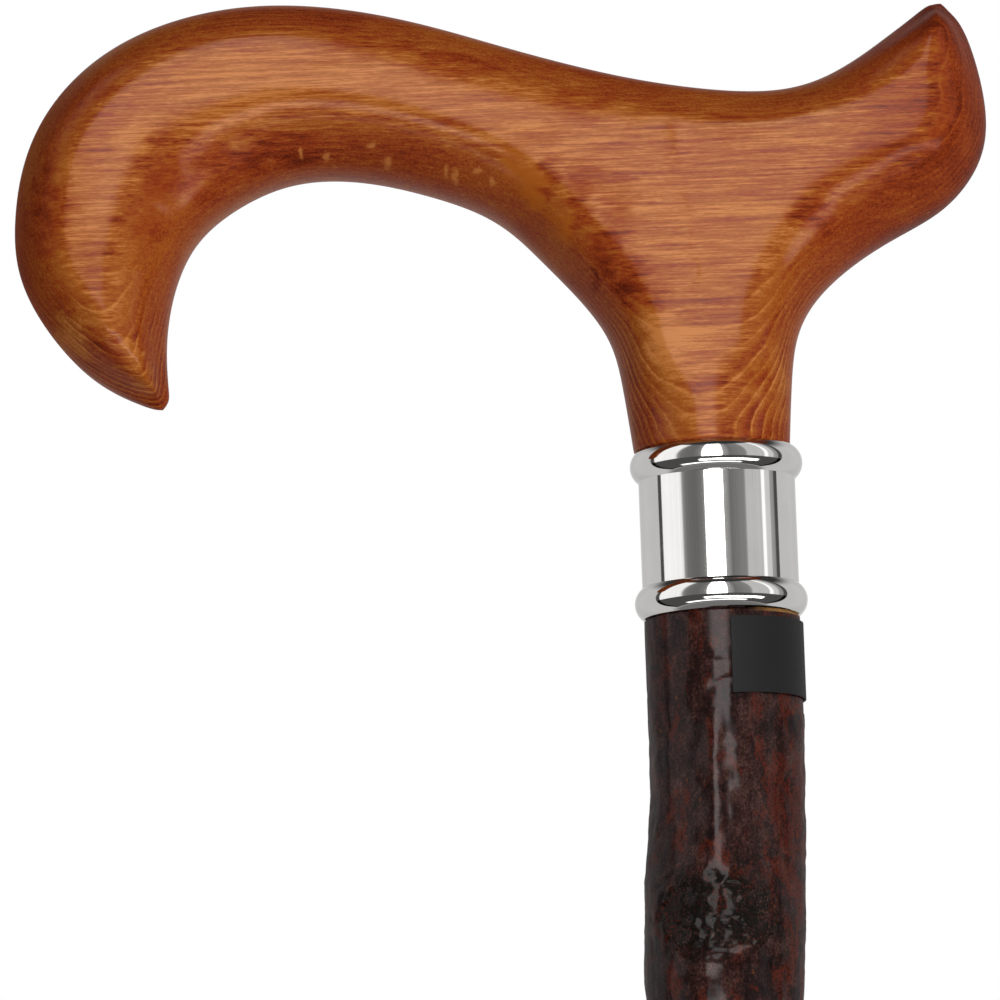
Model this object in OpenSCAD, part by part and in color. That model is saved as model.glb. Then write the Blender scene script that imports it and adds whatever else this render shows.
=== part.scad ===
// Derby-handled blackthorn walking cane: a carved beech handle, a ringed metal collar,
// a bark-on shaft and a push-on rubber foot, held together by a steel stud.
// Millimetres. The origin is the centre of the foot's sole, +Z runs up the shaft
// and the nose of the handle points along -X.

/* [Cane] */
// Height from the floor to the crown of the handle
cane_height = 915; // [760:1:1000]

/* [Handle] */
// Length from the front of the nose to the end of the tail
handle_length = 122.5; // [110:0.5:140]
// Rise from the collar to the crown of the arm
handle_rise = 58.6; // [52:0.1:66]
// Thickness across the fullest part of the nose
handle_thickness = 24; // [21:0.5:28]
// How far the neck stands proud of the collar's tube, all round
neck_proud = 0.05; // [0:0.05:0.6]
// How far the sanded neck leans off the collar's axis, towards the nose
neck_offset = 0.45; // [0:0.05:0.7]

/* [Collar] */
// Outer diameter of the plain tube between the two beads
collar_d = 19.6; // [18:0.1:22]
// Height of the collar
collar_height = 21.2; // [16:0.2:30]
// Wall of the tube
collar_wall = 0.9; // [0.6:0.1:1.4]
// Height of each half-round bead
bead_height = 3.9; // [3:0.1:6]
// How far each bead stands out of the tube
bead_rise = 1; // [0.5:0.05:1.6]

/* [Shaft] */
// How far the bark stands proud of the collar's tube, all round
bark_proud = 0.05; // [0:0.05:0.4]
// Diameter of the bark just above the foot
shaft_foot_d = 18.4; // [17.6:0.1:20]
// Sideways step of the stick below the collar
kink = 1.6; // [0:0.1:3]
// Depth below the label where the step begins
kink_start = 3.5; // [1:0.5:12]
// Length of the step, measured down the stick
kink_length = 36; // [24:1:60]
// Wander of the stick to either side along its length
sway = 2.6; // [0:0.1:5]
// Length at each end over which the wander fades
sway_ease = 95; // [60:5:150]
// How far the fullest trimmed knots stand out of the bark
knot_rise = 2.6; // [0.5:0.1:4]
// Length of a knot's swelling, along the stick
knot_length = 9; // [7:0.5:14]
// Width of a knot's swelling, round the stick
knot_width = 7; // [5:0.5:10]
// Depth of the first knot below the collar
knot_first = 38; // [30:1:60]
// Mean spacing of the knots along the stick
knot_pitch = 46; // [36:1:70]
// Depth of the shallow flutes in the bark
flute = 0.22; // [0:0.02:0.4]

/* [Stud] */
// Diameter of the steel stud that joins handle and shaft
stud_d = 8; // [6:0.5:10]
// Length of the stud on each side of the collar's middle
stud_reach = 32; // [20:1:36]
// Bevel on the stud's ends
stud_bevel = 1; // [0.4:0.1:1.5]

/* [Label] */
// Height of the blank label
label_height = 9.6; // [6:0.1:12]
// Bare bark between the collar and the label
label_drop = 1.1; // [0.3:0.1:3]
// Thickness of the label
label_thick = 0.25; // [0.15:0.05:0.5]
// Length of the label, round the shaft
label_length = 29; // [16:1:40]
// Angle from the front of the cane to the label's near end
label_start = 5; // [0:1:30]

/* [Foot] */
// Height of the rubber foot
foot_height = 41; // [36:1:50]
// Diameter of the sole
sole_d = 42; // [34:0.5:46]
// Height of the sole's upright rim
sole_rim = 4; // [3:0.5:6]
// Bevel round the edge of the sole
sole_bevel = 1; // [0.4:0.1:2]
// Diameter of the foot's mouth
mouth_d = 23; // [21.5:0.5:26]
// Height of the rolled lip at the mouth
lip_height = 5; // [3:0.5:7]
// How far the lip stands out of the taper below it
lip_rise = 0.8; // [0.4:0.1:1.2]
// Diameter of the socket
socket_d = 17; // [15:0.1:17.4]
// Thickness of rubber below the socket
sole_thick = 9; // [8:0.5:12]
// Thickness of the steel washer on the socket's floor
washer_thick = 1.6; // [1:0.1:2.5]
// Diameter of the washer's hole
washer_hole_d = 6; // [4:0.5:8]
// Depth of the tread's ring grooves
tread_depth = 1.8; // [1:0.1:3]
// Width of each tread groove
tread_groove = 2; // [1.2:0.1:2.4]

/* [Hidden] */

// Clearances, overruns and the fineness of curves
glue_gap = 0.1;          // between a spigot or stud and its bore, filled with glue
end_gap = 0.6;           // left at the bottom of a bore
foot_fit = 0.06;         // radial, between the turned foot of the shaft and the socket
washer_fit = 0.2;        // radial, round the washer
label_fit = 0.04;        // between the label and the bark
mouth_gap = 1;           // between the foot's mouth and the shoulder above it
overrun = 1;             // past a face that a cut breaks through
root = 4;                // of a spigot's root inside its own piece
spigot_gap = 1.6;        // between the two spigots inside the collar
bark_ease = 14;          // length at each end of the bark over which flutes and knots fade out
shoulder_ease = 0.3;     // rounding of the bark's cut ends
span_steps = 5;          // stations between two rows of a handle table
round_steps = 7;         // facets in each quarter of a rounded edge
slope_passes = 30;       // passes that settle a smooth curve's slopes
shaft_sides = 24;        // facets round the bark
ring_gap = 5.6;          // spacing of the rings along the bark
flare_steps = 10;        // facets in the foot's flare
$fn = 96;

// Heights of the main faces, and the radii that mating pieces share
collar_top = cane_height - handle_rise;
collar_foot = collar_top - collar_height;
tube_r = collar_d / 2;
collar_bore_r = tube_r - collar_wall;
spigot_r = collar_bore_r - glue_gap;
spigot_length = (collar_height - spigot_gap) / 2;
neck_r = tube_r + neck_proud;
bark_top_r = tube_r + bark_proud;
bark_foot_r = shaft_foot_d / 2;
shaft_foot = sole_thick + washer_thick;
shoulder = foot_height + mouth_gap;
bark_length = collar_foot - shoulder;
foot_spigot_r = socket_d / 2 - foot_fit;
stud_middle = collar_foot + collar_height / 2;
stud_r = stud_d / 2;
stud_bore_r = stud_r + glue_gap;
stud_bore_top = stud_middle + stud_reach + end_gap;
stud_bore_foot = stud_middle - stud_reach - end_gap;
label_foot = label_drop + label_height;

// Handle outline. x is a share of the handle's length from the neck's axis, z of its rise above
// the collar. The back runs over the top of the handle and the palm runs along its underside.
nose_tip_shares = [-0.562, 0.127];
nose_back_shares = [[-0.575, 0.133], [-0.640, 0.214], [-0.697, 0.382], [-0.708, 0.550], [-0.683, 0.743],
                    [-0.602, 0.915], [-0.470, 0.994], [-0.330, 0.967], [-0.215, 0.896]];
nose_palm_shares = [[-0.555, 0.150], [-0.556, 0.258], [-0.547, 0.372], [-0.523, 0.481], [-0.480, 0.558],
                    [-0.420, 0.608], [-0.350, 0.608], [-0.280, 0.571], [-0.216, 0.511]];
saddle_shares = [[-0.120, 0.834], [-0.030, 0.790]];
tail_back_shares = [[0.075, 0.771], [0.145, 0.817], [0.187, 0.874], [0.213, 0.913], [0.230, 0.939],
                    [0.238, 0.947]];
tail_palm_shares = [[0.175, 0.423], [0.240, 0.498], [0.281, 0.598], [0.290, 0.723], [0.275, 0.868],
                    [0.257, 0.931]];
tail_tip_shares = [0.249, 0.952];
// Where the palm's two flares run down into the neck, on the nose side and on the tail side
front_flare_shares = [[-0.166, 0.410], [-0.113, 0.276], [-0.0935, 0.149]];
tail_flare_shares = [[0.082, 0.149], [0.1035, 0.298]];
// Half thickness along nose and tail, as a share of half the handle's thickness
nose_half_shares = [0.12, 0.50, 0.83, 0.97, 1.00, 0.99, 0.97, 0.97, 0.97];
tail_half_shares = [0.97, 0.93, 0.82, 0.62, 0.34, 0.12];
// Half width of the flat side, as a share of the depth from back to palm
nose_flat_shares = [0.06, 0.06, 0.07, 0.09, 0.11, 0.12, 0.12, 0.12, 0.12];
tail_flat_shares = [0.10, 0.08, 0.06, 0.05, 0.05, 0.06];
flat_middle_share = 0.46;   // of that depth, from the back to the middle of the flat side
flare_pull_share = 0.42;    // of a flare's length, by which its curved ridge leaves each end

// Natural wander and knots of the stick
sway_waves = [1.6, 2.3];      // waves along the bark, seen from the front and from the side
knot_turn = 144;              // angle from one knot to the next
knot_heading = 252;           // angle of the first knot, a little left of the front
knot_strays = [137, 71, 97];  // angles that scatter the knots' depth, size and heading
knot_scatter_share = 0.22;    // of the pitch and of the turn, by which a knot strays
knot_small_share = 0.45;      // of the knot rise, on the smallest knot
knot_swell_share = 0.35;      // of the knot rise, by which the stick swells all round at a knot
flute_lobes = 3;
flute_turns = 1.5;            // turns of the flutes along the bark

// Tread and flare of the foot
tread_rings = 2;
flare_power = 2.6;            // how quickly the flare leaves the sole

// A smooth curve through hand-placed points: slopes settle until the bends flow into each other
function settled(p, m, passes) = passes == 0 ? m : settled(p, [for (i = [0:len(p) - 1])
    i == 0 ? (3 * (p[1] - p[0]) - m[1]) / 2
    : i == len(p) - 1 ? (3 * (p[i] - p[i - 1]) - m[i - 1]) / 2
    : (3 * (p[i + 1] - p[i - 1]) - m[i - 1] - m[i + 1]) / 4], passes - 1);
function between(a, b, ma, mb, t) = a * (2 * t ^ 3 - 3 * t ^ 2 + 1) + ma * (t ^ 3 - 2 * t ^ 2 + t)
    + b * (3 * t ^ 2 - 2 * t ^ 3) + mb * (t ^ 3 - t ^ 2);
function curve(p) = let (m = settled(p, [for (q = p) q * 0], slope_passes)) concat(
    [for (i = [0:len(p) - 2], s = [0:span_steps - 1])
        between(p[i], p[i + 1], m[i], m[i + 1], s / span_steps)],
    [p[len(p) - 1]]);
function bezier(a, b, c, d, t) = a * (1 - t) ^ 3 + b * 3 * t * (1 - t) ^ 2
    + c * 3 * t ^ 2 * (1 - t) + d * t ^ 3;
function smooth(t) = let (u = min(1, max(0, t))) u * u * (3 - 2 * u);
function unit(v) = v / norm(v);
function reversed(list) = [for (i = [len(list) - 1:-1:0]) list[i]];

// Handle: a sawn outline whose edges are rounded over to a flat side, and to a round neck below
function in_handle(shares) = [for (s = shares) [s.x * handle_length, s.y * handle_rise]];
nose_end = (len(nose_back_shares) - 1) * span_steps;
fork_end = (len(front_flare_shares) - 1) * span_steps;
neck_end = len(tail_flare_shares) * span_steps;
tail_end = (len(tail_back_shares) - 1) * span_steps;
saddle_end = (len(saddle_shares) + 1) * span_steps;
flat_half = nose_half_shares[len(nose_half_shares) - 1] * handle_thickness / 2;

back_line = curve(in_handle(concat(nose_back_shares, saddle_shares, tail_back_shares)));
front_line = curve(concat(in_handle(concat(nose_palm_shares, front_flare_shares)),
                          [[-neck_r - neck_offset, 0]]));
tail_line = curve(concat([[neck_r - neck_offset, 0]],
                         in_handle(concat(tail_flare_shares, tail_palm_shares))));
nose_half = curve(nose_half_shares) * handle_thickness / 2;
tail_half = curve(tail_half_shares) * handle_thickness / 2;
nose_flat = curve(nose_flat_shares);
tail_flat = curve(tail_flat_shares);

// Both edges of the flat side: one below the back, one above the palm. The palm's edge leaves the
// nose, dips to the fork at the top of the neck and climbs to the tail.
function flat_edge(back, palm, flat, side) = back + (palm - back) * (flat_middle_share + side * flat);
function nose_edge(side) = [for (k = [0:nose_end])
    flat_edge(back_line[k], front_line[k], nose_flat[k], side)];
function tail_edge(side) = [for (k = [0:tail_end])
    flat_edge(back_line[tail_first + k], tail_line[neck_end + span_steps + k], tail_flat[k], side)];
tail_first = nose_end + saddle_end;
nose_back_edge = nose_edge(-1);
nose_palm_edge = nose_edge(1);
tail_back_edge = tail_edge(-1);
tail_palm_edge = tail_edge(1);
saddle_edge = let (a = nose_back_edge[nose_end] - back_line[nose_end],
                   b = tail_back_edge[0] - back_line[tail_first])
    [for (k = [1:saddle_end - 1]) back_line[nose_end + k] + a + (b - a) * smooth(k / saddle_end)];
neck_axis = [for (k = [0:neck_end]) (front_line[nose_end + fork_end + k] + tail_line[neck_end - k]) / 2];
neck_half = [for (k = [0:neck_end]) flat_half + (neck_r - flat_half) * smooth(k / neck_end)];
fork = neck_axis[0];
front_fork_edge = let (a = nose_palm_edge[nose_end], pull = flare_pull_share * norm(fork - a),
                       along = unit(a - nose_palm_edge[nose_end - 1]))
    [for (k = [1:fork_end - 1]) bezier(a, a + along * pull, fork + [0, pull], fork, k / fork_end)];
tail_fork_edge = let (d = tail_palm_edge[0], pull = flare_pull_share * norm(d - fork),
                      along = unit(tail_palm_edge[1] - d))
    [for (k = [1:span_steps - 1]) bezier(fork, fork + [0, pull], d - along * pull, d, k / span_steps)];

// One rounded edge at one station: from the flat side in front, round the outline, to the one behind
function rounded(edge, flat, half) = [for (i = [-round_steps:round_steps])
    let (a = 90 * i / round_steps, q = edge + (flat - edge) * (1 - cos(a))) [q.x, half * sin(a), q.y]];
function rounded_strip(edges, flats, halves) = [for (k = [0:len(edges) - 1])
    rounded(edges[k], flats[k], halves[k])];
function level(count) = [for (k = [1:count - 1]) flat_half];
back_strip = rounded_strip(back_line, concat(nose_back_edge, saddle_edge, tail_back_edge),
                           concat(nose_half, level(saddle_end), tail_half));
front_strip = rounded_strip(front_line, concat(nose_palm_edge, front_fork_edge, neck_axis),
                            concat(nose_half, level(fork_end), neck_half));
tail_strip = rounded_strip(tail_line, concat(reversed(neck_axis), tail_fork_edge, tail_palm_edge),
                           concat(reversed(neck_half), level(span_steps), tail_half));

// Faces between neighbouring rows of points, and a fan that closes a loop of points onto one
function strip_faces(first, rows, cols, turned) = [for (r = [0:rows - 2], c = [0:cols - 2])
    let (a = first + r * cols + c, b = a + cols)
    each turned ? [[a, b, a + 1], [a + 1, b, b + 1]] : [[a, a + 1, b], [a + 1, b + 1, b]]];
function band_faces(upper, lower, turned) = [for (k = [0:len(upper) - 2])
    each turned ? [[upper[k], lower[k], lower[k + 1]], [upper[k], lower[k + 1], upper[k + 1]]]
                : [[upper[k], lower[k + 1], lower[k]], [upper[k], upper[k + 1], lower[k + 1]]]];
function fan_faces(loop, tip, turned) = [for (i = [0:len(loop) - 1])
    let (a = loop[i], b = loop[(i + 1) % len(loop)]) turned ? [tip, b, a] : [tip, a, b]];
function flattened(rows) = [for (row = rows) each row];

module handle_blank() {
    cols = 2 * round_steps + 1;
    last = cols - 1;
    front_row = len(back_strip);
    tail_row = front_row + len(front_strip);
    end_row = tail_row + len(tail_strip);
    nose_tip = end_row * cols;
    tail_tip = nose_tip + 1;
    neck_middle = nose_tip + 2;
    tips = [for (s = in_handle([nose_tip_shares, tail_tip_shares])) [s.x, 0, s.y]];
    back_rows = [for (k = [0:front_row - 1]) k * cols];
    palm_rows = concat([for (k = [0:nose_end + fork_end]) (front_row + k) * cols],
                       [for (k = [neck_end + 1:len(tail_strip) - 1]) (tail_row + k) * cols]);
    function loop(row) = [for (c = [0:last]) row * cols + c];
    polyhedron(
        points = concat(flattened(back_strip), flattened(front_strip), flattened(tail_strip), tips,
                        [[-neck_offset, 0, 0]]),
        faces = concat(
            strip_faces(0, len(back_strip), cols, false),
            strip_faces(front_row * cols, len(front_strip), cols, true),
            strip_faces(tail_row * cols, len(tail_strip), cols, true),
            band_faces(back_rows, palm_rows, false),
            band_faces([for (r = back_rows) r + last], [for (r = palm_rows) r + last], true),
            fan_faces(concat(loop(0), reversed(loop(front_row))), nose_tip, true),
            fan_faces(concat(loop(front_row - 1), reversed(loop(end_row - 1))), tail_tip, false),
            fan_faces(concat(loop(tail_row - 1), [for (c = [last - 1:-1:1]) tail_row * cols + c]),
                      neck_middle, true)),
        convexity = 8);
}

module handle() {
    color([0.62, 0.32, 0.15]) difference() {
        union() {
            translate([0, 0, collar_top]) handle_blank();
            translate([0, 0, collar_top - spigot_length]) cylinder(r = spigot_r, h = spigot_length + root);
        }
        translate([0, 0, stud_middle]) cylinder(r = stud_bore_r, h = stud_bore_top - stud_middle);
    }
}

// Collar: a thin tube with a half-round bead at each end
module collar() {
    bead_r = (bead_height ^ 2 / 4 + bead_rise ^ 2) / (2 * bead_rise);
    color([0.78, 0.78, 0.76]) translate([0, 0, collar_foot]) rotate_extrude() difference() {
        intersection() {
            union() {
                square([tube_r, collar_height]);
                for (z = [bead_height / 2, collar_height - bead_height / 2])
                    translate([tube_r + bead_rise - bead_r, z]) circle(r = bead_r);
            }
            square([tube_r + bead_rise + overrun, collar_height]);
        }
        translate([-overrun, -overrun]) square([collar_bore_r + overrun, collar_height + 2 * overrun]);
    }
}

// Shaft: the stick wanders, tapers towards the foot and swells at each trimmed knot
knot_count = floor((bark_length - knot_first - bark_ease) / knot_pitch) + 1;
function knot_stray(i, k) = i == 0 ? 0 : sin(knot_strays[k] * i);
function knot_depth(i) = knot_first + knot_pitch * (i + knot_scatter_share * knot_stray(i, 0));
function knot_size(i) = knot_rise * (knot_small_share + (1 - knot_small_share) * abs(knot_stray(i, 1)));
function knot_angle(i) = knot_heading + knot_turn * (i + knot_scatter_share * knot_stray(i, 2));
function end_fade(depth) = smooth((depth - label_foot) / bark_ease)
    * smooth((bark_length - depth) / bark_ease);
function stick_centre(depth) = let (
    share = depth / bark_length,
    below_kink = depth - label_foot - kink_start - kink_length,
    to_foot = smooth((bark_length - depth) / sway_ease),
    step = kink * smooth(1 + below_kink / kink_length) * to_foot,
    wander = [for (w = sway_waves) sway * smooth(below_kink / sway_ease) * to_foot * sin(360 * w * share)])
    [wander.x - step, wander.y];
function knot_swell(i, depth, angle, r) = let (
    along = (depth - knot_depth(i)) / knot_length,
    apart = acos(cos(angle - knot_angle(i))) * PI / 180 * r / knot_width)
    knot_size(i) * exp(-along ^ 2) * (exp(-apart ^ 2) + knot_swell_share);
function total(list) = list * [for (x = list) 1];
function bark_r(depth, angle) = let (
    r = bark_top_r + (bark_foot_r - bark_top_r) * depth / bark_length,
    knots = total([for (i = [0:knot_count - 1]) knot_swell(i, depth, angle, r)]),
    flutes = flute * sin(flute_lobes * angle + 360 * flute_turns * depth / bark_length))
    r + end_fade(depth) * (knots + flutes) - (depth == 0 || depth == bark_length ? shoulder_ease : 0);
function bark_ring(depth) = let (c = stick_centre(depth)) [for (s = [0:shaft_sides - 1])
    let (angle = 360 * s / shaft_sides, r = bark_r(depth, angle))
    [c.x + r * cos(angle), c.y + r * sin(angle), -depth]];

module bark() {
    full_length = bark_length - 2 * shoulder_ease;
    rings = ceil(full_length / ring_gap);
    depths = concat([0], [for (k = [0:rings]) shoulder_ease + full_length * k / rings], [bark_length]);
    points = flattened([for (d = depths) bark_ring(d)]);
    top = len(points);
    sides = [for (k = [0:len(depths) - 2], s = [0:shaft_sides - 1])
        let (a = k * shaft_sides + s, b = k * shaft_sides + (s + 1) % shaft_sides)
        each [[a, b, a + shaft_sides], [b, b + shaft_sides, a + shaft_sides]]];
    polyhedron(points = concat(points, [[0, 0, 0], [0, 0, -bark_length]]),
        faces = concat(sides, fan_faces([for (s = [0:shaft_sides - 1]) s], top, true),
            fan_faces([for (s = [0:shaft_sides - 1]) top - shaft_sides + s], top + 1, false)),
        convexity = 8);
}

module shaft() {
    color([0.16, 0.09, 0.08]) difference() {
        union() {
            translate([0, 0, collar_foot]) bark();
            translate([0, 0, collar_foot - root]) cylinder(r = spigot_r, h = spigot_length + root);
            translate([0, 0, shaft_foot]) cylinder(r = foot_spigot_r, h = shoulder - shaft_foot + root);
        }
        translate([0, 0, stud_bore_foot]) cylinder(r = stud_bore_r, h = stud_middle - stud_bore_foot);
    }
}

// Stud: a steel rod glued into both spigots
module joint_stud() {
    color([0.55, 0.55, 0.57]) translate([0, 0, stud_middle]) rotate_extrude()
        polygon([[0, -stud_reach], [stud_r - stud_bevel, -stud_reach], [stud_r, stud_bevel - stud_reach],
                 [stud_r, stud_reach - stud_bevel], [stud_r - stud_bevel, stud_reach], [0, stud_reach]]);
}

// Label: a blank strip stuck round the bark below the collar
module label_band() {
    inner = bark_top_r + label_fit;
    sweep = label_length / inner * 180 / PI;
    color([0.07, 0.07, 0.07]) translate([0, 0, collar_foot - label_foot])
        rotate([0, 0, 270 + label_start]) rotate_extrude(angle = sweep)
            translate([inner, 0]) square([label_thick, label_height]);
}

// Foot: a rubber ferrule with a rolled lip, a flared sole and ring grooves in the tread
module rubber_foot() {
    mouth_r = mouth_d / 2;
    waist_r = mouth_r - lip_rise;
    sole_r = sole_d / 2;
    lip_foot = foot_height - lip_height;
    waist_top = lip_foot - lip_rise;
    pitch = sole_r / (tread_rings + 1);
    flare = [for (k = [0:flare_steps]) let (t = k / flare_steps)
        [waist_r + (sole_r - waist_r) * (1 - t) ^ flare_power, sole_rim + (waist_top - sole_rim) * t]];
    lip = [[mouth_r, lip_foot], [mouth_r, foot_height - lip_rise], [waist_r, foot_height]];
    color([0.06, 0.06, 0.06]) rotate_extrude() difference() {
        polygon(concat([[0, 0], [sole_r - sole_bevel, 0], [sole_r, sole_bevel]],
                       flare, lip, [[0, foot_height]]));
        translate([0, sole_thick]) square([socket_d / 2, foot_height]);
        for (k = [1:tread_rings])
            translate([k * pitch, -overrun]) square([tread_groove, tread_depth + overrun]);
    }
}

// Washer: stops the stick from punching through the sole
module foot_washer() {
    color([0.6, 0.6, 0.62]) translate([0, 0, sole_thick]) difference() {
        cylinder(r = socket_d / 2 - washer_fit, h = washer_thick);
        translate([0, 0, -overrun]) cylinder(d = washer_hole_d, h = washer_thick + 2 * overrun);
    }
}

handle();
collar();
shaft();
joint_stud();
label_band();
rubber_foot();
foot_washer();
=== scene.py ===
# %% [markdown]
# # A derby-handled blackthorn walking cane
# The cane is a carved beech handle, a ringed metal collar, a knotty bark-on stick and a rubber foot.
# Its pieces arrive at their real size as a fixed frame. This lesson dresses them: smoother surfaces,
# carved and grown detail, and a finish for every piece.

# %% Load the frame
import math

import bmesh
import bpy
from mathutils import Matrix, Vector, kdtree, noise


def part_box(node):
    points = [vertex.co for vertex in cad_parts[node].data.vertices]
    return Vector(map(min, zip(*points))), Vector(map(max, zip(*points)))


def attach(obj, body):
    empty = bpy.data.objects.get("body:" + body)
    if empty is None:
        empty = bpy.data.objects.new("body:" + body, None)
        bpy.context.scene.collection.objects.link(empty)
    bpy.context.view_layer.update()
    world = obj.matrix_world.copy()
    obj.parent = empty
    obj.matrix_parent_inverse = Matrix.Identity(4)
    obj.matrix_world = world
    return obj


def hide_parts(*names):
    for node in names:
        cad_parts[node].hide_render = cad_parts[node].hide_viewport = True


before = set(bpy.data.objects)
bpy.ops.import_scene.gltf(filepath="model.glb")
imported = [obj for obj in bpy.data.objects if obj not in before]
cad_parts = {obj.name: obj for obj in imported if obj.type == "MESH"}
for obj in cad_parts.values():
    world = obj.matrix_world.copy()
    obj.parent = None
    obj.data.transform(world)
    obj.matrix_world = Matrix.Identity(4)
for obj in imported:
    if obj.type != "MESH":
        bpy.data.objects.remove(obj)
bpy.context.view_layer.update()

MM = 0.001
print("pieces in the frame:", ", ".join(sorted(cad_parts)))

# %% [markdown]
# ## Heights that every piece shares
# The collar is where everything meets, so its top and foot are read from the frame once, and so is the
# top of the rubber foot. The axis of the cane is the Z axis, and the handle's nose points along -X.

# %% Read the collar's place
collar_low, collar_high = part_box("collar")
COLLAR_TOP = collar_high.z
COLLAR_FOOT = collar_low.z
FOOT_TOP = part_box("rubber_foot")[1].z
print("collar from", round(COLLAR_FOOT / MM, 1), "to", round(COLLAR_TOP / MM, 1), "mm")

# %% [markdown]
# ## The camera
# The photograph was taken with a long lens from a little below the handle, with the camera a touch
# askew. A long lens keeps near and far parts at almost the same scale, so the picture's width at the
# cane and the distance give the focal length.

# %% Place the camera
PICTURE_WIDTH = 0.125  # metres across the picture, at the cane
CAMERA_DISTANCE = 1.6
CAMERA_RISE = math.radians(-8.5)
CAMERA_ROLL = math.radians(-2.075)
AIM = Vector((-0.02715, 0.0, COLLAR_TOP - 0.00533))  # the middle of the picture

camera_data = bpy.data.cameras.new("camera")
camera_data.lens = camera_data.sensor_width * CAMERA_DISTANCE / PICTURE_WIDTH
camera = bpy.data.objects.new("camera", camera_data)
bpy.context.scene.collection.objects.link(camera)
towards_camera = Vector((0.0, -math.cos(CAMERA_RISE), math.sin(CAMERA_RISE)))
level_turn = (-towards_camera).to_track_quat("-Z", "Y").to_matrix()
camera.rotation_euler = (level_turn @ Matrix.Rotation(CAMERA_ROLL, 3, "Z")).to_euler()
camera.location = AIM + towards_camera * CAMERA_DISTANCE
bpy.context.scene.camera = camera
bpy.context.scene.view_settings.view_transform = "Standard"
print("focal length in mm:", round(camera_data.lens, 1))

# %% [markdown]
# ## Shader maths as plain expressions
# A finish is a graph of nodes. Wired by hand it is hard to read, so one small class stands for a
# socket and lets ordinary sums and products add the Math nodes. Every other node comes from a single
# method that sets the node up first and then fills or links its sockets.

# %% A wire and a bench to join wires on
class Wire:
    """One output socket. Arithmetic on wires adds Math nodes."""

    def __init__(self, bench, socket):
        self.bench = bench
        self.socket = socket

    def math(self, operation, first, second=0.0):
        return self.bench.node("ShaderNodeMath", {"operation": operation}, {0: first, 1: second})

    def __add__(self, other):
        return self.math("ADD", self, other)

    def __sub__(self, other):
        return self.math("SUBTRACT", self, other)

    def __rsub__(self, other):
        return self.math("SUBTRACT", other, self)

    def __mul__(self, other):
        return self.math("MULTIPLY", self, other)

    def __truediv__(self, other):
        return self.math("DIVIDE", self, other)

    def __rtruediv__(self, other):
        return self.math("DIVIDE", other, self)

    __radd__ = __add__
    __rmul__ = __mul__


class Bench:
    """The node tree of a material or of the world."""

    def __init__(self, owner):
        owner.use_nodes = True
        self.owner = owner
        self.tree = owner.node_tree
        self.tree.nodes.clear()

    def node(self, kind, settings=None, inputs=None, output=0):
        made = self.tree.nodes.new(kind)
        for name, value in (settings or {}).items():
            if name == "stops":
                self.set_stops(made.color_ramp.elements, value)
            else:
                setattr(made, name, value)
        for name, value in (inputs or {}).items():
            if isinstance(value, Wire):
                self.tree.links.new(value.socket, made.inputs[name])
            else:
                made.inputs[name].default_value = value
        if isinstance(output, tuple):
            return [Wire(self, made.outputs[name]) for name in output]
        return Wire(self, made.outputs[output]) if made.outputs else None

    @staticmethod
    def set_stops(elements, stops):
        while len(elements) < len(stops):
            elements.new(1.0)
        for element, (place, colour) in zip(elements, stops):
            element.position = place
            element.color = colour


def new_material(name):
    return Bench(bpy.data.materials.new(name))


print("shader bench ready")

# %% [markdown]
# ## Words that the finishes share
# Every finish needs the same few things: a position in millimetres, noise that is stretched along the
# grain, a soft threshold, and a mix of two colours. Colours are written as they look on a screen, from
# 0 to 255, and turned into the linear values that shaders use.

# %% Position, noise, threshold and colour
def screen(red, green, blue):
    """A screen colour as a linear one with full alpha."""
    levels = [level / 255 for level in (red, green, blue)]
    linear = [c / 12.92 if c <= 0.04045 else ((c + 0.055) / 1.055) ** 2.4 for c in levels]
    return (*linear, 1.0)


def millimetres(bench, centre=(0.0, 0.0, 0.0)):
    """Object coordinates in millimetres, counted from a centre given in metres."""
    place = bench.node("ShaderNodeTexCoord", output="Object")
    shift = tuple(-c / MM for c in centre)
    return bench.node("ShaderNodeMapping", inputs={
        "Vector": place, "Scale": (1 / MM,) * 3, "Location": shift})


def stretched(bench, place, grains):
    """Counts a place in grains of the given lengths, along X, Y and Z."""
    scale = tuple(1 / length for length in grains)
    return bench.node("ShaderNodeMapping", inputs={"Vector": place, "Scale": scale})


def cloud(bench, place, grains, detail=2.0, rough=0.5, swirl=0.0):
    """Noise from 0 to 1 with features of the given lengths, in millimetres along X, Y and Z."""
    return bench.node("ShaderNodeTexNoise", inputs={
        "Vector": stretched(bench, place, grains), "Scale": 1.0, "Detail": detail,
        "Roughness": rough, "Distortion": swirl})


def rise(bench, value, low, high, bottom=0.0, top=1.0):
    """A soft step from bottom to top as the value goes from low to high."""
    return bench.node("ShaderNodeMapRange", {"interpolation_type": "SMOOTHSTEP"}, {
        "Value": value, "From Min": low, "From Max": high, "To Min": bottom, "To Max": top})


def mixed(bench, share, first, second):
    """Two colours mixed by a share from 0 to 1."""
    return bench.node("ShaderNodeMix", {"data_type": "RGBA"}, {0: share, 6: first, 7: second}, output=2)


def split(bench, place):
    return bench.node("ShaderNodeSeparateXYZ", inputs={0: place}, output=(0, 1, 2))


def kept(bench, name):
    """A value that was kept with each point of a piece."""
    return bench.node("ShaderNodeAttribute", {"attribute_name": name}, output="Fac")


print("position, noise and colour ready")

# %% Marks, relief and the end of a finish
def spot(bench, place, centre, size):
    """1 at a centre, in millimetres, fading to 0 at the given half sizes."""
    nearer = bench.node("ShaderNodeMapping", inputs={
        "Vector": place, "Location": tuple(-c / s for c, s in zip(centre, size)),
        "Scale": tuple(1 / s for s in size)})
    reach = bench.node("ShaderNodeVectorMath", {"operation": "LENGTH"}, {0: nearer}, output="Value")
    return rise(bench, reach, 1.0, 0.25)


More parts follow.
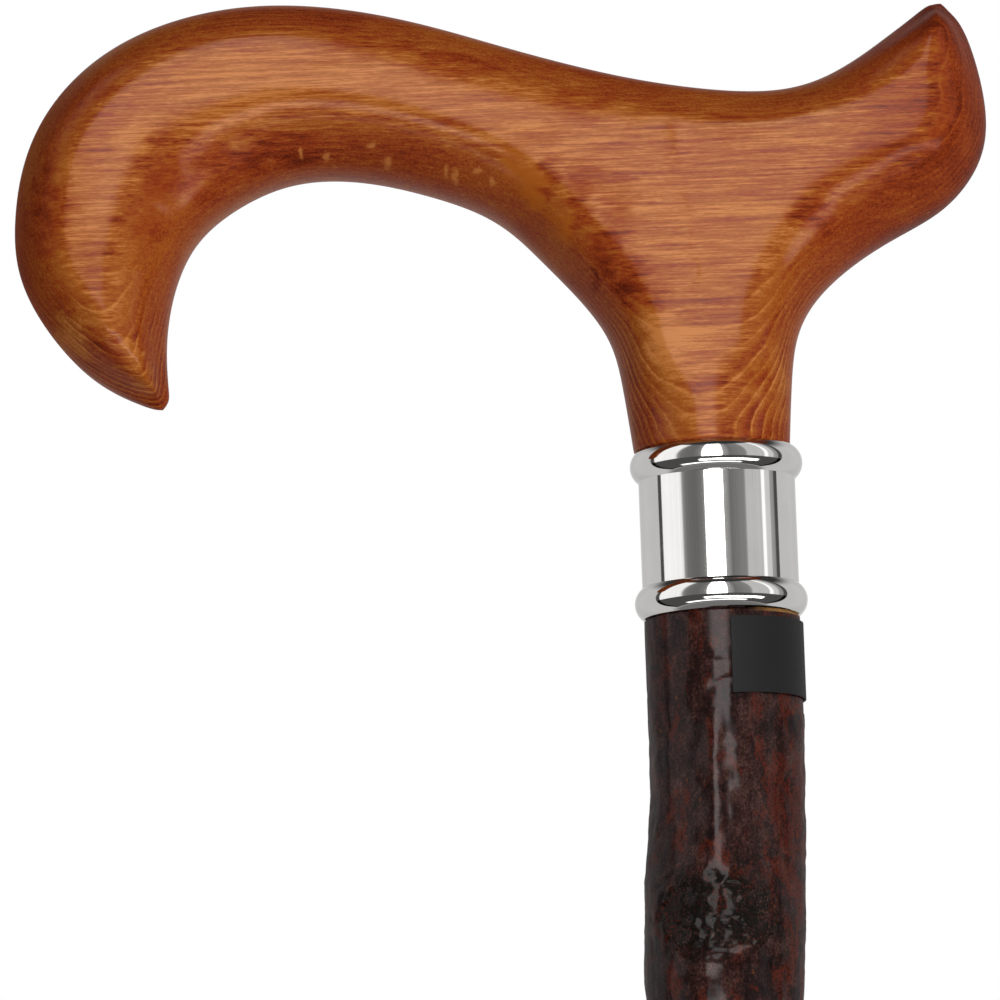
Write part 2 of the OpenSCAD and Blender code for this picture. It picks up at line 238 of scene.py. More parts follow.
def strayed(bench, place, grains, amount):
    """A place pushed about by noise, so that a mark there gets a ragged border."""
    push = bench.node("ShaderNodeTexNoise", inputs={
        "Vector": stretched(bench, place, grains), "Scale": 1.0, "Detail": 3.0}, output="Color")
    level = bench.node("ShaderNodeVectorMath", {"operation": "SUBTRACT"}, {0: push, 1: (0.5, 0.5, 0.5)})
    return bench.node("ShaderNodeVectorMath", {"operation": "MULTIPLY_ADD"}, {
        0: level, 1: (amount,) * 3, 2: place})


def bumped(bench, height, depth_mm, strength):
    """A normal from a height of 0 to 1, at its real depth in millimetres."""
    return bench.node("ShaderNodeBump", inputs={
        "Strength": strength, "Distance": depth_mm * MM, "Height": height})


def surfaced(bench, **sockets):
    """Ends a finish in a Principled shader. Names use _ for a space."""
    inputs = {name.replace("_", " "): value for name, value in sockets.items()}
    shader = bench.node("ShaderNodeBsdfPrincipled", inputs=inputs)
    bench.node("ShaderNodeOutputMaterial", inputs={"Surface": shader})
    return bench.owner


print("finish words ready")

# %% [markdown]
# ## Stained beech
# The handle is sawn from beech, stained a warm red-brown and lacquered. Growth rings are layers that
# lie almost flat against the handle's sides, so they show as contour lines wherever the carving cuts
# down through them: on the neck, the nose and the rounded edges. Fine streaks run along the grain, from
# nose to tail, and rays show on the underside as short pale flecks. The colour darkens towards the tail
# and a little towards the nose. The rounded edges and the neck's sides are darker too, partly because
# stain gets rubbed thin on the flats and partly as painted shade where they turn from the light. One
# pale mark on the neck's right side is painted light. An image could hold all this, but only noise in
# the solid cuts through a carved shape as real wood does.

# %% Colours and marks of this one handle
BEECH_PALE = screen(196, 122, 62)
BEECH_WARM = screen(164, 90, 32)
BEECH_RED = screen(143, 57, 22)
BEECH_DARK = screen(92, 30, 14)
BEECH_GOLD = screen(168, 88, 24)
# Marks in millimetres from the collar's top: centre, half size and strength
STAIN_MARKS = [
    ((-19.6, -11.5, 33.2), (2.4, 6, 3.4), 1), ((-16.2, -11.5, 29), (3, 6, 4.4), 1),
    ((-12.6, -11.5, 24.4), (3, 6, 4.4), 1), ((-9.6, -11, 20.2), (2.4, 6, 3.8), 1),
    ((-14.4, -8.5, 20.2), (1.3, 4, 2.2), 1), ((-15.5, -11, 33), (4, 7, 3.4), 0.7),
    ((-11.4, -11, 31), (3, 7, 4), 0.6), ((-7, -11, 18), (2, 7, 4), 0.6),
    ((-66, -10, 35.5), (8, 9, 4.5), 0.9), ((-59, -10, 37.6), (8, 9, 3.6), 0.9),
    ((-52, -10, 38.6), (8, 9, 3), 0.9), ((-71, -10, 30), (5, 9, 5.5), 0.6),
    ((-76, -11, 25), (3.5, 8, 5), 0.5), ((-81, -8, 32.5), (4, 9, 9), 0.85),
    ((12.5, -11, 27.5), (4.5, 8, 3.5), 1), ((-11, -11, 27.5), (3, 7, 4), 0.5),
    ((4, -11, 38), (6, 8, 2.5), 0.35), ((-31.4, -10, 48.5), (9, 9, 3), 0.8),
    ((-42, -10, 50), (9, 9, 2.6), 0.6), ((-17, -10, 43), (6, 9, 2.6), 0.6),
    ((-21, -11, 38.5), (6, 8, 3), 0.4)]
GOLD_MARKS = [
    ((-23.4, -11, 35), (2.6, 6, 4.4), 0.8), ((-21.6, -11, 31), (2.4, 6, 4.4), 0.8),
    ((-18.6, -11, 26.8), (2.2, 6, 4), 0.8)]
# Paler marks. The one at (8, -7, 6) on the neck's right side is painted light, on the side that faces the
# lamp.
PALE_AND_LIT_MARKS = [
    ((-6, -9.5, 13), (5, 7, 8.5), 1), ((8, -7, 6), (4, 7, 9), 1), ((-80, -8, 16), (5, 9, 4.5), 1.6),
    ((-71, -8, 10), (4, 8, 3), 1.3), ((-75.5, -10, 18.7), (2.5, 7, 3.5), 0.5),
    ((-72.3, -9, 13.6), (2, 7, 3), 1), ((-70.4, -11, 40), (4, 8, 3.4), 1),
    ((-26.5, -8, 29), (3.5, 9, 3), 0.6), ((25, -9, 27.5), (4, 9, 3.5), 0.9),
    ((29, -8, 31), (4, 9, 4), 0.6), ((32.4, -8, 36), (3, 9, 4.5), 0.4)]
# Single rays that show on the side: X and height, half length and half width
RAY_MARKS = [
    (-50.4, 38.3, 0.4, 0.9), (-47.3, 37.8, 0.6, 0.8), (-41.7, 38.6, 0.8, 0.5), (-39.6, 36.7, 0.7, 1.0),
    (-32.4, 35.3, 0.4, 1.1), (-31.3, 34.5, 0.6, 1.3), (-28.4, 34.9, 0.9, 0.6), (-26.7, 33.6, 0.5, 0.9)]
RAY_SIDE = (-8.0, 6.0)  # Y of a single ray's middle, and its half depth into the wood
print("marks:", len(STAIN_MARKS), "dark,", len(GOLD_MARKS), "golden,", len(PALE_AND_LIT_MARKS), "pale")

# %% Rings and rays
RING_GAP = 1.1  # millimetres between growth rings, across the handle
RING_TILT = 0.2  # how far the rings lie further out, for each millimetre up
RING_DRIFT = 0.03  # and how far they lie further in, for each millimetre along
RING_BEND = 4.0  # millimetres that the rings wander over the whole handle
RING_RIPPLE = 0.9  # millimetres that they wander over a short stretch


def growth_rings(bench, place):
    """Below 0 on the pale line of each ring and above 0 in the dark wood between the lines."""
    along, across, up = split(bench, place)
    bend = cloud(bench, place, (40, 14, 14)) - 0.5
    ripple = cloud(bench, place, (12, 3.0, 4.0), 3.0) - 0.5
    depth = across - up * RING_TILT + along * RING_DRIFT + bend * RING_BEND + ripple * RING_RIPPLE
    ring = depth / RING_GAP
    year = bench.node("ShaderNodeMath", {"operation": "FLOOR"}, {0: ring})
    chance = bench.node("ShaderNodeTexWhiteNoise", {"noise_dimensions": "1D"}, {"W": year})
    part = ring - year
    patch = rise(bench, cloud(bench, place, (7, 3, 4)), 0.4, 0.6, 0.45, 1.0)
    near_neck = rise(bench, up, 26, 14)
    near_tail = rise(bench, along, 20, 32)
    clear = (0.1 + near_neck * 0.5 + near_tail * 0.2) * patch
    late = rise(bench, part, 0.0, 0.55) * rise(bench, part, 1.0, 0.6)
    pale = rise(bench, part, 0.72, 0.86) * rise(bench, part, 1.0, 0.9)
    return (late * 0.6 - pale * 0.7) * (chance * 0.8 + 0.2) * clear


def ray_flecks(bench, place, under):
    """Short pale flecks, only on the underside."""
    spacing = stretched(bench, place, (2.0, 1.3, 1.3))
    near, lot = bench.node("ShaderNodeTexVoronoi", inputs={"Vector": spacing, "Scale": 1.0},
                           output=("Distance", "Color"))
    picked = rise(bench, split(bench, lot)[0], 0.5, 0.56)
    return rise(bench, near, 0.24, 0.1) * picked * rise(bench, under, 0.55, 0.8)


def single_rays(bench, place):
    """The few rays that show on the side, with wavy borders."""
    wavy = strayed(bench, place, (0.7, 0.7, 0.7), 1.0)
    return sum(spot(bench, wavy, (ahead, RAY_SIDE[0], height), (length, RAY_SIDE[1], width))
               for ahead, height, length, width in RAY_MARKS)


print("growth rings every", RING_GAP, "mm, single rays:", len(RAY_MARKS))

# %% Finish for the handle
def stained_beech():
    bench = new_material("stained_beech")
    place = millimetres(bench, (0.0, 0.0, COLLAR_TOP))
    along = split(bench, place)[0]
    streak = cloud(bench, place, (18, 0.8, 0.5), 3.0, 0.6)
    thread = cloud(bench, place, (6, 0.35, 0.24), 2.0, 0.6)
    fine = cloud(bench, place, (0.9, 0.14, 0.12), 2.0, 0.6)
    dash = cloud(bench, place, (5, 0.6, 0.22), 1.0)
    blotch = cloud(bench, place, (26, 10, 10))
    speck = cloud(bench, place, (0.35, 0.28, 0.28), 2.0, 0.7)
    ragged = strayed(bench, place, (7.0, 2.5, 1.8), 8.0)
    marks, gold, pale = (
        sum(spot(bench, ragged, centre, size) * strength for centre, size, strength in group)
        for group in (STAIN_MARKS, GOLD_MARKS, PALE_AND_LIT_MARKS))
    side = kept(bench, "sideways")
    # Where the surface turns from the sides the colour darkens: partly stain rubbed thin on the flats,
    # partly painted shade on the rounded edges and the neck's sides.
    edge = rise(bench, side, 0.95, 0.7)
    end_grain = rise(bench, kept(bench, "endways"), 0.1, 0.4, 1.0, 0.45)
    grain = ((streak - 0.5) * 1.4 + (thread - 0.5) * 1.2 + (fine - 0.5) * 0.8
             - rise(bench, dash, 0.64, 0.7) * 0.24)
    tone = (0.31
            + growth_rings(bench, place)
            + grain * (1.0 - edge * 0.5) * end_grain
            + (blotch - 0.5) * 0.7
            # painted shade, partly stain: rounded edges and neck sides darker
            + edge * ((speck - 0.5) * 0.9 + 0.2)
            # darker towards the tail and a little towards the nose
            + rise(bench, along, 12, 30) * 0.26
            + rise(bench, along, -64, -78) * 0.05
            + marks * 0.36
            # the paler marks, one of them painted light on the neck's right side
            - pale * 0.26)
    stain = bench.node("ShaderNodeValToRGB", {"stops": [
        (0.0, BEECH_PALE), (0.32, BEECH_WARM), (0.64, BEECH_RED), (1.0, BEECH_DARK)]}, {0: tone})
    golden = mixed(bench, gold, stain, BEECH_GOLD)
    rays = ray_flecks(bench, place, kept(bench, "downwards")) * 0.3 + single_rays(bench, place) * 0.7
    colour = mixed(bench, rays, golden, BEECH_PALE)
    pores = bumped(bench, thread * 0.5 + fine * 0.5, 0.02, 0.4)
    nose_worn = rise(bench, along, -74, -84, 1.0, 0.2)
    tail_worn = rise(bench, along, 14, 32, 1.0, 0.6)
    lacquer = ((rise(bench, side, 0.5, 0.9, 0.12, 0.22) + rise(bench, side, 0.45, 0.1) * 0.2)
               * nose_worn * tail_worn * (1.0 - marks * 0.5) * (1.35 - fine * 0.7))
    return surfaced(
        bench, Base_Color=colour, Roughness=0.5, Specular_IOR_Level=0.0,
        Coat_Weight=lacquer, Coat_Roughness=0.2, Coat_IOR=1.5, Normal=pores)


beech = stained_beech()
print("finish:", beech.name)

# %% [markdown]
# ## The carved handle
# A carver saws the outline from a plank, then rounds the edges over with a rasp. The frame has that
# shape as flat triangles. Subdividing it makes the curves flow, and creases keep the crisp shoulder
# where the neck sits on the collar. Modelling it afresh would only lose the measured outline.

# %% Copy a frame piece as one connected skin
WELD = 0.002 * MM  # corners closer than this become one
FLAT_PAIR = math.radians(25)  # two triangles that bend less than this may make a quad
SQUARE_PAIR = math.radians(60)
CREASE_ANGLE = math.radians(38)


def connected_copy(node):
    """A frame piece's surface with its corners joined, as quads where two triangles make one."""
    shape = bmesh.new()
    shape.from_mesh(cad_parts[node].data)
    bmesh.ops.remove_doubles(shape, verts=shape.verts, dist=WELD)
    bmesh.ops.join_triangles(
        shape, faces=shape.faces, angle_face_threshold=FLAT_PAIR, angle_shape_threshold=SQUARE_PAIR)
    return shape


def as_piece(shape, name, material):
    """Turns a bmesh into an object at the origin, with one finish."""
    mesh = bpy.data.meshes.new(name)
    shape.to_mesh(mesh)
    shape.free()
    for layer in ("custom_normal", "UVMap"):
        if layer in mesh.attributes:
            mesh.attributes.remove(mesh.attributes[layer])
    mesh.materials.clear()
    mesh.materials.append(material)
    for face in mesh.polygons:
        face.use_smooth = True
        face.material_index = 0
    piece = bpy.data.objects.new(name, mesh)
    bpy.context.scene.collection.objects.link(piece)
    return piece


def crease_corners(shape, amount):
    """Marks edges that turn sharply, so that subdividing keeps them."""
    layers = shape.edges.layers.float
    crease = layers.get("crease_edge") or layers.new("crease_edge")
    sharp = [edge for edge in shape.edges if edge.is_manifold and edge.calc_face_angle() > CREASE_ANGLE]
    for edge in sharp:
        edge[crease] = amount
    return len(sharp)


print("words for copying ready")

# %% Refine a piece and work on its skin
def subdivided(piece, levels):
    """Adds a Subdivision Surface that looks the same in the view and in the render."""
    finer = piece.modifiers.new("finer", "SUBSURF")
    finer.levels = levels
    finer.render_levels = levels
    return piece


def worked_in(piece):
    """The piece's surface with its modifiers worked in. The modifiers are used up."""
    shape = bmesh.new()
    shape.from_object(piece, bpy.context.evaluated_depsgraph_get())
    piece.modifiers.clear()
    return shape


def write_back(shape, piece):
    """Puts a worked surface back into its piece."""
    shape.to_mesh(piece.data)
    shape.free()
    for face in piece.data.polygons:
        face.use_smooth = True


def keep_facing(shape):
    """Keeps with each point how far its surface faces sideways, endways and downwards."""
    shape.normal_update()
    sideways, endways, downwards = (
        shape.verts.layers.float.new(name) for name in ("sideways", "endways", "downwards"))
    for point in shape.verts:
        point[sideways] = abs(point.normal.y)
        point[endways] = abs(point.normal.x)
        point[downwards] = max(0.0, -point.normal.z)


def eased(value, low, high):
    """A soft step from 0 to 1."""
    share = min(1.0, max(0.0, (value - low) / (high - low)))
    return share * share * (3 - 2 * share)


print("words for pieces ready")

# %% [markdown]
# ## Rasped edges
# A rasp takes more off where the hand goes. On this handle the inside of the hook is rounded deeply, so
# that only a narrow flat is left high on the arm, while the edges near the neck stay tighter. The places
# below follow the outline, each with the width of its rounding. A point's distance from the edge then
# gives how far out the side stands there, along a quarter of an ellipse. A bevel would have one width
# all along, and here the width changes from place to place.

# %% Find the edges of the handle
# X and height above the collar, and the width of the rounding, in millimetres
EDGES = {
    "outer": [
        (-70, 8, 6), (-81, 21, 7), (-86, 32, 7.5), (-84, 42, 7.5), (-78, 52, 8), (-65, 57, 8.5),
        (-50, 58, 8.5), (-34, 54, 9), (-18, 48, 9.5), (0, 45, 8.7), (10, 45, 8), (20, 50, 8),
        (28, 55, 6)],
    "inner": [
        (-68, 9, 6), (-68, 15, 8), (-66, 23, 9.5), (-63.5, 28, 11.5), (-61, 31, 14.5), (-58, 33, 14.5),
        (-53, 35, 13), (-46, 36, 11), (-38, 34, 10), (-31, 33, 9.5), (-23, 27, 8.6), (-15, 19, 7.4),
        (-11, 10, 6.5), (10, 9, 6.5), (12, 17, 8), (20, 24, 11), (27, 27, 11), (32, 32, 9),
        (35, 39, 8), (33, 48, 7), (30, 54, 6)]}
OUTLINE_HALF = 0.5 * MM  # the outline's points lie this close to the middle plane
OUTLINE_FOOT = 2 * MM  # and start this far above the collar
BORE_REACH = (6 * MM, 36 * MM)  # the stud's hole lies inside this radius and height


def width_between(places, here):
    """Distance to the nearest place, and the rounding's width between the nearest two."""
    (near, near_width), (next_near, next_width) = sorted(
        ((here - Vector(place[:2])).length, place[2]) for place in places)[:2]
    return near, (near_width * next_near + next_width * near) / (near + next_near)


def edge_points(shape):
    """Points on the handle's outline, seen from the side, sorted into outer and inner edge."""
    sides = {name: [] for name in EDGES}
    for point in shape.verts:
        height = point.co.z - COLLAR_TOP
        in_bore = abs(point.co.x) < BORE_REACH[0] and height < BORE_REACH[1]
        if abs(point.co.y) < OUTLINE_HALF and height > OUTLINE_FOOT and not in_bore:
            here = Vector((point.co.x / MM, height / MM))
            widths = {name: width_between(places, here) for name, places in EDGES.items()}
            name = min(widths, key=lambda side: widths[side][0])
            outward = Vector((point.normal.x, 0.0, point.normal.z)).normalized()
            sides[name].append((Vector((point.co.x, 0.0, point.co.z)), outward, widths[name][1] * MM))
    return sides


def search_tree(edges):
    """Finds the nearest of many edge points quickly."""
    tree = kdtree.KDTree(len(edges))
    for index, edge in enumerate(edges):
        tree.insert(edge[0], index)
    tree.balance()
    return tree


def inward(tree, edges, place):
    """From 0 on the edge to 1 where its rounding ends."""
    _, index, _ = tree.find(place)
    at, outward, width = edges[index]
    return min(1.0, max(0.0, (at - place).dot(outward) / width))


print("places on the outline:", {name: len(places) for name, places in EDGES.items()})

# %% Rasp and sand
NECK_BLEND = (3, 14)  # the rounding takes over from the round neck between these heights
NECK_REACH = 20 * MM  # the neck lies inside this distance from the axis
TAPER = (2, 36)  # between these heights the sides draw in to the neck and the nose's tip
RIM_BLEND = (0.04, 0.4)  # the rasp starts and takes over at these shares of the rounding's width
NECK_HALF = 9.85 * MM
HALF_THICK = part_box("handle")[1].y
MIDDLE = 0.001 * MM  # a point this close to the middle plane is on it
FLAT_SKIN = 0.4 * MM  # the flat sides lie within this depth
JUNCTION_HALF = 12 * MM  # where the two branches meet the neck: half width
JUNCTION_HEIGHTS = (14 * MM, 36 * MM)
SANDED_FROM = (3 * MM, 6 * MM)  # distance from the middle plane and height where sanding starts


def rasp(shape):
    """Moves the handle's sides in or out to the rounding of the nearest edges."""
    shape.normal_update()
    sides = edge_points(shape)
    trees = {name: search_tree(edges) for name, edges in sides.items()}
    moved = 0
    for point in shape.verts:
        height = (point.co.z - COLLAR_TOP) / MM
        in_bore = point.co.xy.length < BORE_REACH[0] and height < BORE_REACH[1] / MM
        if height > NECK_BLEND[0] and not in_bore:
            place = Vector((point.co.x, 0.0, point.co.z))
            half = NECK_HALF + (HALF_THICK - NECK_HALF) * eased(height, *TAPER)
            shares = [inward(trees[name], sides[name], place) for name in trees]
            out = half * math.prod(math.sqrt(1 - (1 - share) ** 2) for share in shares)
            rasped = math.copysign(out, point.co.y) if abs(point.co.y) > MIDDLE else 0.0
            reach = eased(min(shares), *RIM_BLEND)
            if abs(point.co.x) < NECK_REACH:
                reach *= eased(height, *NECK_BLEND)
            point.co.y += (rasped - point.co.y) * reach
            moved += 1
    return moved


def even_flats(shape, passes):
    """Spreads the points of the flat sides evenly where the two branches meet the neck."""
    lowest, highest = JUNCTION_HEIGHTS
    flat = [point for point in shape.verts
            if abs(point.co.y) > HALF_THICK - FLAT_SKIN and abs(point.co.x) < JUNCTION_HALF
            and lowest < point.co.z - COLLAR_TOP < highest]
    for _ in range(passes):
        bmesh.ops.smooth_vert(
            shape, verts=flat, factor=0.5, use_axis_x=True, use_axis_y=True, use_axis_z=True)


def sand(shape, passes):
    """Takes the rasp marks off the sides: every point moves sideways towards its neighbours."""
    sides = [point for point in shape.verts
             if abs(point.co.y) > SANDED_FROM[0] and point.co.z > COLLAR_TOP + SANDED_FROM[1]]
    for _ in range(passes):
        bmesh.ops.smooth_vert(shape, verts=sides, factor=0.5, use_axis_y=True)


print("half thickness of the handle in mm:", round(HALF_THICK / MM, 2))

# %% Carve the handle
handle_shape = connected_copy("handle")
handle_creases = crease_corners(handle_shape, 0.9)
handle = subdivided(as_piece(handle_shape, "carved_handle", beech), 2)
handle_skin = worked_in(handle)
even_flats(handle_skin, passes=20)
rasped_points = rasp(handle_skin)
sand(handle_skin, passes=4)
keep_facing(handle_skin)
write_back(handle_skin, handle)
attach(handle, "cane")
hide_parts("handle")
print("handle faces:", len(handle.data.polygons))
print("creased edges:", handle_creases, "rasped points:", rasped_points)

# %% [markdown]
# ## Polished metal
# The collar is thin plated metal. Polished plate has no colour of its own: it shows the room, with a
# faint blur from the polishing wheel, so the finish is a bright metal with barely uneven roughness.

# %% Finish for the collar
def polished_plate():
    bench = new_material("polished_plate")
    place = millimetres(bench, (0.0, 0.0, COLLAR_FOOT))
    wheel = cloud(bench, place, (6, 6, 0.12))
    haze = cloud(bench, place, (4, 4, 5))
    tint = mixed(bench, haze, screen(184, 182, 180), screen(194, 193, 191))
    rubbed = 0.03 + wheel * 0.04 + rise(bench, haze, 0.55, 0.8) * 0.03
    return surfaced(bench, Base_Color=tint, Metallic=1.0, Roughness=rubbed)


plate = polished_plate()
print("finish:", plate.name)

# %% [markdown]
# ## The collar
# On the bench the collar is a tube whose ends are rolled into half-round beads. Turning a profile about
# the axis is how a lathe would shape it, and spin does the same here: a short arc for each bead, joined
# by straight lines, then one full turn.

# %% Turn the collar
TUBE_WALL = 0.9 * MM
BEAD_HEIGHT = 3.9 * MM
BEAD_RISE = 1.0 * MM
BEAD_STEPS = 16
TURN_STEPS = 160


def bead_arc(shape, foot, tube):
    """The half-round outline of one bead, from its foot to its top, as a chain of edges."""
    radius = (BEAD_HEIGHT ** 2 / 4 + BEAD_RISE ** 2) / (2 * BEAD_RISE)
    middle = Vector((tube + BEAD_RISE - radius, 0.0, foot + BEAD_HEIGHT / 2))
    sweep = 2 * math.asin(BEAD_HEIGHT / 2 / radius)
    start = shape.verts.new((tube, 0.0, foot))
    bmesh.ops.spin(
        shape, geom=[start], cent=middle, axis=(0.0, -1.0, 0.0), angle=sweep, steps=BEAD_STEPS,
        use_merge=False, use_duplicate=False)


def collar_piece():
    outer = collar_high.x - BEAD_RISE
    inner = outer - TUBE_WALL
    shape = bmesh.new()
    bead_arc(shape, COLLAR_FOOT, outer)
    bead_arc(shape, COLLAR_TOP - BEAD_HEIGHT, outer)
    outline = sorted(shape.verts, key=lambda point: point.co.z)
    shape.edges.new((outline[BEAD_STEPS], outline[BEAD_STEPS + 1]))
    bore_foot = shape.verts.new((inner, 0.0, COLLAR_FOOT))
    bore_top = shape.verts.new((inner, 0.0, COLLAR_TOP))
    shape.edges.new((bore_foot, outline[0]))
    shape.edges.new((outline[-1], bore_top))
    shape.edges.new((bore_top, bore_foot))
    bmesh.ops.spin(
        shape, geom=shape.verts[:] + shape.edges[:], cent=(0.0, 0.0, 0.0), axis=(0.0, 0.0, 1.0),
        angle=math.tau, steps=TURN_STEPS, use_merge=True, use_duplicate=False)
    bmesh.ops.remove_doubles(shape, verts=shape.verts, dist=WELD)
    bmesh.ops.recalc_face_normals(shape, faces=shape.faces)
    for edge in shape.edges:
        edge.smooth = edge.calc_face_angle(0.0) < CREASE_ANGLE
    return as_piece(shape, "ringed_collar", plate)


collar = collar_piece()
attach(collar, "cane")
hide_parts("collar")
print("collar faces:", len(collar.data.polygons))

# %% [markdown]
# ## Lacquered bark
# Blackthorn keeps its bark: nearly black, with red-brown patches where the thin outer skin has rubbed
# away, short crosswise breathing pores, and greenish black scars where thorns were trimmed. Clear
# lacquer lies over all of it. Under the collar the bark was cut back, and a little bare wood shows. The
# end that goes into the foot is turned down to bare wood too. Layers of noise, each at its own scale,
# give patches and specks at once, where a single noise would look like marble.

# %% Finish for the stick
BARK_BLACK = screen(16, 9, 9)
BARK_DARK = screen(36, 19, 17)
BARK_BROWN = screen(60, 37, 33)
BARK_GREY = screen(88, 62, 56)
BARK_RED = screen(86, 28, 12)
BARK_FLECK = screen(128, 66, 24)
BARK_SCAR = screen(18, 18, 15)
CUT_WOOD = screen(176, 134, 82)
CUT_SHADE = screen(120, 80, 40)
TURNED_RISE = 1.3  # millimetres above the foot where the turned end starts
LACQUER = 0.22  # how much of the surface the thin lacquer covers
RED_SIDE = ((7.5, -5.5, -28.0), (6.0, 9.0, 38.0))  # where this stick's bark has worn to red


def bare_wood(bench, place):
    """Two shares: the turned end alone, and with it the cut strip under the collar."""
    along, _, up = split(bench, place)
    cut_edge = rise(bench, up, -0.5, -0.3) * rise(bench, along, 3, 7)
    turned_top = (FOOT_TOP - COLLAR_FOOT) / MM + TURNED_RISE
    turned_end = rise(bench, up, turned_top, turned_top - 0.2)
    return turned_end, cut_edge.math("MAXIMUM", cut_edge, turned_end)


def lacquered_bark():
    bench = new_material("lacquered_bark")
    place = millimetres(bench, (0.0, 0.0, COLLAR_FOOT))
    mottle = cloud(bench, place, (2.6, 2.6, 3.4), 5.0, 0.68, 0.6)
    speckle = cloud(bench, place, (0.3, 0.3, 0.34), 3.0, 0.7)
    worn = cloud(bench, place, (3.2, 3.2, 6), 4.0, 0.66, 0.8)
    thread = cloud(bench, place, (0.5, 0.5, 4), 3.0, 0.6)
    pore = cloud(bench, place, (2.6, 2.6, 0.3))
    fleck = cloud(bench, place, (0.8, 0.8, 1.2))
    scar = kept(bench, "scar")
    shade = mottle * 0.55 + speckle * 0.45 + (thread - 0.5) * 0.12
    skin = bench.node("ShaderNodeValToRGB", {"stops": [
        (0.39, BARK_BLACK), (0.48, BARK_DARK), (0.56, BARK_BROWN), (0.66, BARK_GREY)]}, {0: shade})
    red_side = spot(bench, place, *RED_SIDE) * 0.1
    bare = rise(bench, worn + red_side, 0.52, 0.64) * rise(bench, speckle, 0.36, 0.56)
    rubbed = mixed(bench, bare * 0.75, skin, BARK_RED)
    flecked = mixed(bench, rise(bench, fleck, 0.72, 0.78) * 0.5, rubbed, BARK_FLECK)
    crazed = mixed(bench, scar * rise(bench, speckle, 0.66, 0.44), flecked, BARK_SCAR)
    turned_end, cut = bare_wood(bench, place)
    wood = mixed(bench, thread, CUT_WOOD, CUT_SHADE)
    colour = mixed(bench, cut, crazed, wood)
    relief = thread * 0.15 + pore * 0.4 + speckle * (0.14 + scar * 0.7)
    lacquer = (1.0 - scar * 0.4) * (1.0 - turned_end * 0.8) * LACQUER
    return surfaced(
        bench, Base_Color=colour, Roughness=0.5, Specular_IOR_Level=0.0,
        Coat_Weight=lacquer, Coat_Roughness=0.2, Coat_IOR=1.5,
        Normal=bumped(bench, relief, 0.14, 0.8))


bark = lacquered_bark()
print("finish:", bark.name)

# %% [markdown]
# ## The grown stick
# No two places on a branch are alike. The frame gives the stick's wander and its knots. Here the skin is
# divided finely and every point is moved in or out a little: long ridges down the stem, soft lumps, one
# rib down the front, thin rings where each year's shoot began, and a broken surface on the trimmed knots.
# The part near the collar is seen closest, so it is divided finest. Painting this as a bump would leave
# a smooth outline.

# %% Place the knots
KNOT_FIRST = 38 * MM  # depth of the first knot below the collar
KNOT_PITCH = 46 * MM
KNOT_TURN = 144  # degrees from one knot to the next
KNOT_HEADING = 252  # degrees, heading of the first knot
KNOT_STRAYS = (137, 97)  # degrees, how depth and heading stray from knot to knot
KNOT_SCATTER = 0.22


def knot_places():
    """Depth and heading of each trimmed knot, as the frame's stick has them."""
    count = int((COLLAR_FOOT - FOOT_TOP - KNOT_FIRST) / KNOT_PITCH) + 1
    places = []
    for number in range(count):
        deeper, turned = (math.sin(math.radians(stray * number)) for stray in KNOT_STRAYS)
        depth = KNOT_FIRST + KNOT_PITCH * (number + KNOT_SCATTER * deeper)
        heading = KNOT_HEADING + KNOT_TURN * (number + KNOT_SCATTER * turned)
        places.append((depth, math.radians(heading)))
    return places


KNOTS = knot_places()
print("knots:", len(KNOTS))

# %% Divide the skin
FINE_DEPTH = 50 * MM  # the part below the collar that is divided finest
FINE_STEP = 3.2 * MM
ON_LEVEL = 0.001 * MM  # a point this close to a cut needs no new point
SKIN_RADIUS = 6 * MM  # the bark lies further out than this, the stud's bore further in


def finely_cut(shape):
    """Cuts level rings into the skin below the collar."""
    for step in range(1, int(FINE_DEPTH / FINE_STEP)):
        level = (0.0, 0.0, COLLAR_FOOT - step * FINE_STEP)
        everything = shape.verts[:] + shape.edges[:] + shape.faces[:]
        bmesh.ops.bisect_plane(
            shape, geom=everything, dist=ON_LEVEL, plane_co=level, plane_no=(0, 0, 1))


def on_bark(place):
    return place.xy.length > SKIN_RADIUS and FOOT_TOP < place.z < COLLAR_FOOT


def halve_near_collar(shape):
    """Halves the skin's faces once more in the fine part."""
    edges = set()
    for face in shape.faces:
        middle = face.calc_center_median()
        if on_bark(middle) and middle.z > COLLAR_FOOT - FINE_DEPTH:
            edges.update(face.edges)
    bmesh.ops.subdivide_edges(shape, edges=list(edges), cuts=1, use_grid_fill=True)


print("level cuts:", int(FINE_DEPTH / FINE_STEP) - 1)

# %% Scars and relief
KNOT_HALF = (5.2 * MM, 8.0 * MM)  # half height and half width of a trimmed knot
SCAR_RIM = 1.2  # a scar ends here, counted in half sizes of its knot
SCAR_FADE = 0.35  # and fades over this much
SCAR_RAGGED = (2 * MM, 0.3)  # length and amount of its border's ups and downs
# How far each kind of relief stands out or sinks in, in millimetres
RIDGE = 0.06
LUMP = 0.3
RING_DIP = 0.2
BREAK = 0.4
PORE = 0.03
RING_DEPTHS = (9.1, 31.0, 58.0, 94.0)  # millimetres below the collar
RING_HALF = 0.5  # half width of a ring, in millimetres
RING_STRAY = 1.6  # millimetres that a ring strays up and down
# The rib down the front: X, half width, height, first and last depth, in millimetres
RIB = (-1.9, 1.3, 0.28, 14.0, 31.0)
RIB_END = 3  # millimetres to each side over which the rib's ends fade


